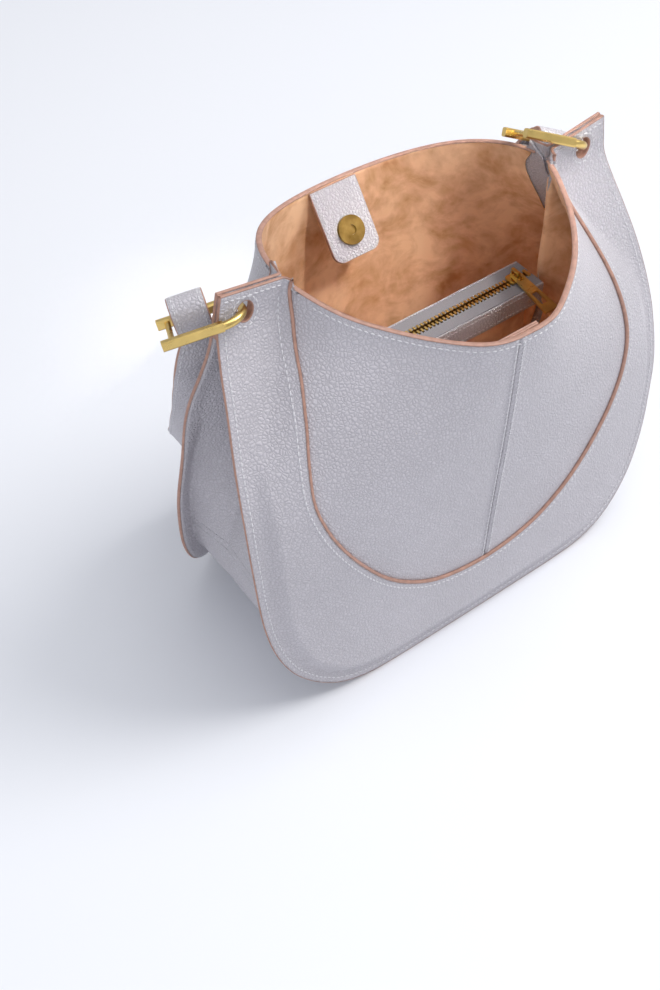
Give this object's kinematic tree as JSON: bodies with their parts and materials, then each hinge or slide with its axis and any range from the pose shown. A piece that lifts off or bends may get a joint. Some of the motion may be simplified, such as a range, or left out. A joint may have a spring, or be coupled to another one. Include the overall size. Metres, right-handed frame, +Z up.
{
  "type": "hobo shoulder bag",
  "caption": "Soft leather hobo shoulder bag with a wide open mouth, crescent front, folded side gussets, zipped centre pouch, magnetic closing tabs and a flat strap on ring links.",
  "frame": {"origin": "middle of the footprint, on the surface the bag stands on", "axes": "+Z up, X across the bag from wing to wing, the front face looks along -Y"},
  "size_m": [0.342, 0.209, 0.3108],
  "materials": {
    "grained_leather": "pebble-grained, satin, pale lilac grey",
    "suede_lining": "napped suede, tan, mottled",
    "edge_paint": "painted leather edge, terracotta, matt",
    "satin_gold": "satin gold plate",
    "antique_brass": "antique brass, brushed in circles",
    "zip_tape": "woven tape, grey"
  },
  "bodies": {
    "bag": {"back_crescent": "grained_leather", "back_lining": "suede_lining", "back_panel_left": "grained_leather", "back_panel_right": "grained_leather", "front_crescent": "grained_leather", "front_lining": "suede_lining", "front_panel_left": "grained_leather", "front_panel_right": "grained_leather", "gusset_bottom": "grained_leather", "gusset_left": "grained_leather", "gusset_lining_bottom": "suede_lining", "gusset_right": "grained_leather", "pouch_back": "suede_lining", "pouch_band_back": "grained_leather", "pouch_band_front": "grained_leather", "pouch_front": "suede_lining", "wing_stay_left": "edge_paint", "wing_stay_right": "edge_paint", "zip_end_stops": "satin_gold", "zip_tape_back": "zip_tape", "zip_tape_front": "zip_tape", "zip_teeth_back": "satin_gold", "zip_teeth_front": "satin_gold"},
    "ring_left": {"ring_left": "satin_gold"},
    "ring_right": {"ring_right": "satin_gold"},
    "strap": {"strap_outer": "grained_leather", "strap_lining": "grained_leather", "strap_fold_left": "grained_leather", "strap_fold_right": "grained_leather"},
    "zip_slider": {"zip_slider": "satin_gold"},
    "zip_pull": {"zip_pull": "satin_gold"},
    "back_tab": {"back_tab_outer": "grained_leather", "back_tab_inner": "grained_leather", "back_snap_washer": "antique_brass", "back_snap_half": "antique_brass"},
    "front_tab": {"front_tab_outer": "grained_leather", "front_tab_inner": "grained_leather", "front_snap_washer": "antique_brass", "front_snap_half": "antique_brass"}
  },
  "joints": [
    {"name": "ring_left_swing", "type": "hinge", "parent": "bag", "child": "ring_left", "pos_m": [-0.126, 0, 0.2845], "axis": [0.3949, 0.884, -0.25], "range_deg": [0, 6]},
    {"name": "strap_level", "type": "hinge", "parent": "ring_left", "child": "strap", "pos_m": [-0.14669, 0.02099, 0.27605], "axis": [0.3949, 0.884, -0.25], "range_deg": [-7, 1]},
    {"name": "ring_right_swing", "type": "hinge", "parent": "bag", "child": "ring_right", "pos_m": [0.126, 0, 0.2845], "axis": [0.1415, 0.8574, -0.4949], "range_deg": [-1, 7]},
    {"name": "zip_slide", "type": "slide", "parent": "bag", "child": "zip_slider", "axis": [1, 0, 0], "range_m": [-0.168, 0]},
    {"name": "zip_pull_swing", "type": "hinge", "parent": "zip_slider", "child": "zip_pull", "pos_m": [0.084, 0, 0.2031], "axis": [-1, 0, 0], "range_deg": [0, 160]},
    {"name": "back_tab_flex", "type": "hinge", "parent": "bag", "child": "back_tab", "pos_m": [0, 0.08547, 0.255], "axis": [-1, 0, 0], "range_deg": [-33, 50]},
    {"name": "front_tab_flex", "type": "hinge", "parent": "bag", "child": "front_tab", "pos_m": [0, -0.08547, 0.255], "axis": [1, 0, 0], "range_deg": [-8, 70]}
  ],
  "couplings": [
    {"joint": "strap_level", "follows": "ring_left_swing", "ratio": -1},
    {"joint": "ring_right_swing", "follows": "ring_left_swing", "ratio": 1}
  ]
}
